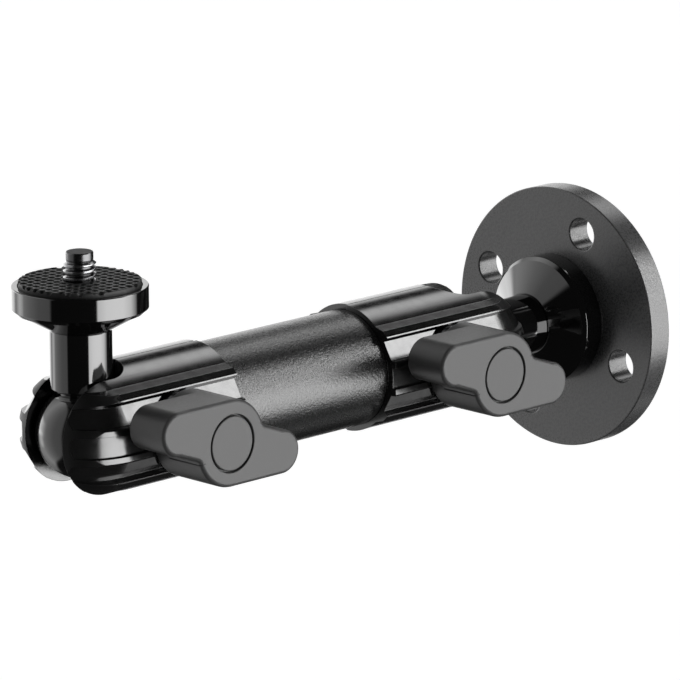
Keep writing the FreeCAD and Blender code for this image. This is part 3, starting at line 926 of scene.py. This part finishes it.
class BRACKET_OT_hardware(bpy.types.Operator):
    """Inner hardware: screws, nuts, washers, springs and the core, as packed, in their own metals"""

    bl_idname = "bracket.hardware"
    bl_label = "Hardware"

    def execute(self, context):
        dress("wall_flange_screw", "dark_steel")
        dress("arm_core", "aluminium")
        for side in ("wall", "camera"):
            dress(side + "_clamp_nut", "dark_steel")
            dress(side + "_clamp_spring", "steel")
            dress(side + "_knob_stud", "dark_steel")
            dress(side + "_knob_washer", "dark_steel")
        return {"FINISHED"}


# Studio

# Light panels as seen from the bracket. Bearings run anticlockwise, seen from above, from BEHIND. Each
# panel has its right and left bearing and its low and high elevation in degrees, how soft its edge is as a
# share of its half width, how square its corners are, and its strength at even steps from right to left.
PANELS = {
    "key": (-147, -66, -26, 12, 0.05, 24, (3.0, 3.8, 3.9, 3.8, 2.9, 0.4)),
    "upper": (-88, -74, 10, 38, 0.10, 12, (4.8, 4.8)),
    "strip": (-42, -6, 33, 56, 0.35, 2, (0.5, 1.4, 2.0, 1.8, 1.2)),
    "backdrop": (-6, 44, -26, 21, 0.20, 8, (1.4, 1.6, 1.1)),
    "glow": (36, 80, -10, 9, 0.30, 8, (1.4, 2.2, 1.0, 0.3)),
    "fill": (54, 74, -24, -5, 0.30, 4, (0.2, 0.8, 0.5)),
    "left": (17, 134, -50, 61, 0.05, 4, (0.3, 0.5, 0.95, 0.6, 0.37, 0.33)),
    "low": (-58, -40, -53, -42, 0.30, 4, (0.45, 0.45)),
}
# Direction of bearing 0, turned from +X, the strength of the dark room between the panels, and the point
# that the camera looks at.
BEHIND = math.radians(133)
DARK = 0.014
AIM = (-3.5 * MM, -63.54 * MM, 4.67 * MM)


def panel(graph, turn, elevation, right, left, low, high, soft, square, strengths):
    """Strength of a light panel: u and v run from -1 to 1 across it, and its edge is |u|^n + |v|^n = 1."""
    def term(value, start, end):
        """|u|^n or |v|^n of a value between the panel's ends."""
        off = graph.math("SUBTRACT", value, (start + end) / 2)
        away = graph.math("DIVIDE", graph.math("ABSOLUTE", off), (end - start) / 2)
        return graph.math("POWER", away, square)

    top = max(strengths)
    run = graph.node("ShaderNodeValToRGB")
    graph.link(graph.ramp(turn, right, left, smooth=False), run.inputs["Fac"])
    stops = run.color_ramp.elements
    for k, strength in enumerate(strengths):
        place = k / (len(strengths) - 1)
        stop = stops[0] if k == 0 else stops[-1] if place == 1.0 else stops.new(place)
        stop.position = place
        stop.color = (*(strength / top,) * 3, 1.0)
    level = graph.math("MULTIPLY", run.outputs["Color"], top)
    both = graph.math("ADD", term(turn, right, left), term(elevation, low, high))
    reach = graph.math("POWER", both, 1.0 / square)
    return graph.math("MULTIPLY", level, graph.ramp(reach, 1.0 - soft, 1.0 + soft, 1.0, 0.0))


class BRACKET_OT_studio(bpy.types.Operator):
    """Studio: a pale floor, light panels in the world and the camera"""

    bl_idname = "bracket.studio"
    bl_label = "Studio"

    def execute(self, context):
        options = context.scene.bracket_studio
        self.world(context)
        self.floor(options)
        self.camera(context, options)
        context.scene.view_settings.view_transform = "Standard"
        return {"FINISHED"}

    def world(self, context):
        """Sum of the panels over a dark room; the camera sees plain white."""
        world = bpy.data.worlds.new("studio")
        context.scene.world = world
        world.use_nodes = True
        world.node_tree.nodes.clear()
        graph = Graph(world.node_tree)
        way = graph.node("ShaderNodeTexCoord").outputs["Generated"]
        ahead = graph.dot(way, (math.cos(BEHIND), math.sin(BEHIND), 0.0))
        aside = graph.dot(way, (-math.sin(BEHIND), math.cos(BEHIND), 0.0))
        turn = graph.math("DEGREES", graph.math("ARCTAN2", aside, ahead))
        elevation = graph.math("DEGREES", graph.math("ARCSINE", graph.dot(way, (0.0, 0.0, 1.0))))
        total = DARK
        for values in PANELS.values():
            total = graph.math("ADD", panel(graph, turn, elevation, *values), total)
        light = graph.node("ShaderNodeBackground")
        light.inputs["Color"].default_value = (1.0, 1.0, 1.0, 1.0)
        graph.link(total, light.inputs["Strength"])
        white = graph.node("ShaderNodeBackground")
        white.inputs["Color"].default_value = (1.0, 1.0, 1.0, 1.0)
        mix = graph.node("ShaderNodeMixShader")
        graph.link(graph.node("ShaderNodeLightPath").outputs["Is Camera Ray"], mix.inputs["Fac"])
        graph.link(light.outputs[0], mix.inputs[1])
        graph.link(white.outputs[0], mix.inputs[2])
        graph.link(mix.outputs[0], graph.node("ShaderNodeOutputWorld").inputs["Surface"])

    def floor(self, options):
        """Pale floor, brightened for the camera alone, that keeps the bracket's shadow."""
        half = options.floor_size / 2
        mesh = bpy.data.meshes.new("floor")
        corners = [(-half, -half), (half, -half), (half, half), (-half, half)]
        mesh.from_pydata([(x, y, -options.floor_drop) for x, y in corners], [], [(0, 1, 2, 3)])
        floor = bpy.data.objects.new("floor", mesh)
        bpy.context.scene.collection.objects.link(floor)
        material = bpy.data.materials.new("floor_paint")
        material.use_nodes = True
        graph = Graph(material.node_tree)
        shader = material.node_tree.nodes["Principled BSDF"]
        shader.inputs["Base Color"].default_value = (0.35, 0.35, 0.35, 1.0)
        shader.inputs["Roughness"].default_value = 1.0
        shader.inputs["Specular IOR Level"].default_value = 0.0
        shader.inputs["Emission Color"].default_value = (1.0, 1.0, 1.0, 1.0)
        seen = graph.node("ShaderNodeLightPath").outputs["Is Camera Ray"]
        graph.link(graph.math("MULTIPLY", seen, 0.9), shader.inputs["Emission Strength"])
        mesh.materials.append(material)
        floor.visible_glossy = False
        floor.visible_diffuse = False
        floor.visible_shadow = False

    def camera(self, context, options):
        """Camera that looks along an azimuth and an elevation, a distance back from its aim."""
        a = options.azimuth
        e = options.elevation
        ahead = Vector((-math.sin(a) * math.cos(e), math.cos(a) * math.cos(e), -math.sin(e)))
        across = Vector((math.cos(a), math.sin(a), 0.0))
        upward = across.cross(ahead)
        right = math.cos(options.roll) * across + math.sin(options.roll) * upward
        top = math.cos(options.roll) * upward - math.sin(options.roll) * across
        camera = bpy.data.cameras.new("camera")
        camera.angle = options.field
        camera.clip_start = 0.1
        camera.clip_end = 50.0
        holder = bpy.data.objects.new("camera", camera)
        context.scene.collection.objects.link(holder)
        turned = Matrix((right, top, -ahead)).transposed().to_4x4()
        holder.matrix_world = Matrix.Translation(Vector(AIM) - ahead * options.distance) @ turned
        context.scene.camera = holder


class BRACKET_PT_panel(bpy.types.Panel):
    """Lists the bracket's sizes, finishes and steps"""

    bl_idname = "BRACKET_PT_panel"
    bl_label = "Camera wall bracket"
    bl_space_type = "VIEW_3D"
    bl_region_type = "UI"
    bl_category = "Bracket"

    def draw(self, context):
        scene = context.scene
        for group in (scene.bracket_sizes, scene.bracket_finishes, scene.bracket_studio):
            box = self.layout.box()
            for name in group.__annotations__:
                box.prop(group, name)
        for step in STEPS:
            self.layout.operator(step.bl_idname)


GROUPS = (BracketSizes, BracketFinishes, BracketStudio)
STEPS = (BRACKET_OT_wall_plate, BRACKET_OT_flanges, BRACKET_OT_ball_stems, BRACKET_OT_clamps,
         BRACKET_OT_sleeve, BRACKET_OT_knobs, BRACKET_OT_grip_pad, BRACKET_OT_camera_screw,
         BRACKET_OT_hardware, BRACKET_OT_studio)


def register():
    for kind in GROUPS + STEPS + (BRACKET_PT_panel,):
        bpy.utils.register_class(kind)
    bpy.types.Scene.bracket_sizes = bpy.props.PointerProperty(type=BracketSizes)
    bpy.types.Scene.bracket_finishes = bpy.props.PointerProperty(type=BracketFinishes)
    bpy.types.Scene.bracket_studio = bpy.props.PointerProperty(type=BracketStudio)


def unregister():
    del bpy.types.Scene.bracket_studio
    del bpy.types.Scene.bracket_finishes
    del bpy.types.Scene.bracket_sizes
    for kind in reversed(GROUPS + STEPS + (BRACKET_PT_panel,)):
        bpy.utils.unregister_class(kind)


def main():
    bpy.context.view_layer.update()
    register()
    make_finishes(bpy.context.scene.bracket_finishes)
    bpy.ops.bracket.wall_plate()
    bpy.ops.bracket.flanges()
    bpy.ops.bracket.ball_stems()
    bpy.ops.bracket.clamps()
    bpy.ops.bracket.sleeve()
    bpy.ops.bracket.knobs()
    bpy.ops.bracket.grip_pad()
    bpy.ops.bracket.camera_screw()
    bpy.ops.bracket.hardware()
    bpy.ops.bracket.studio()


if __name__ == "__main__":
    main()
